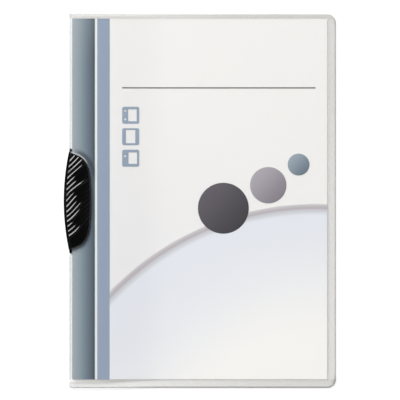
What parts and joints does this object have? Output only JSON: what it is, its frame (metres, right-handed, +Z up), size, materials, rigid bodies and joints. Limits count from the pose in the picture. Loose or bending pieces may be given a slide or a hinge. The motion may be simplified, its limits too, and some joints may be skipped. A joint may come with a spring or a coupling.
{
  "type": "clip folder",
  "caption": "Clear film report folder for loose pages, with a printed title sheet, a cover that opens, and a black ridged clamp that swings out of the spine on a pin.",
  "frame": {"origin": "centre of the bounding box's lowest face, where the folder lies on a table", "axes": "+Z up out of the front cover, +Y towards the folder's top edge, the spine and clip at -X"},
  "size_m": [0.2238, 0.3078, 0.0079],
  "materials": {
    "film": "clear, smooth, slightly grey",
    "paper": "smooth white",
    "band_ink": "printed grey blue",
    "stripe_ink": "printed light blue grey",
    "rule_ink": "printed warm grey",
    "pale_ink": "printed pale blue grey",
    "dark_ink": "printed graphite",
    "mauve_ink": "printed mauve grey",
    "clip_plastic": "glossy black, ridged",
    "pin_steel": "plain"
  },
  "bodies": {
    "folder": {"back_cover": "film", "title_sheet": "paper", "print_spine_band": "band_ink", "print_stripe": "stripe_ink", "print_rule": "rule_ink", "print_icon_top": "stripe_ink", "print_icon_middle": "stripe_ink", "print_icon_bottom": "stripe_ink", "print_disc_large": "dark_ink", "print_disc_middle": "mauve_ink", "print_disc_small": "band_ink", "print_hill": "pale_ink"},
    "cover": {"front_cover": "film"},
    "clip": {"swing_clip": "clip_plastic", "pivot_pin": "pin_steel"}
  },
  "joints": [
    {"name": "cover_open", "type": "hinge", "parent": "folder", "child": "cover", "pos_m": [-0.0855, 0, 0.0043], "axis": [0, -1, 0], "range_deg": [0, 150]},
    {"name": "clip_swing", "type": "hinge", "parent": "folder", "child": "clip", "pos_m": [-0.1062, 0.0365, 0.0033], "axis": [0, 0, -1], "range_deg": [0, 90]}
  ]
}
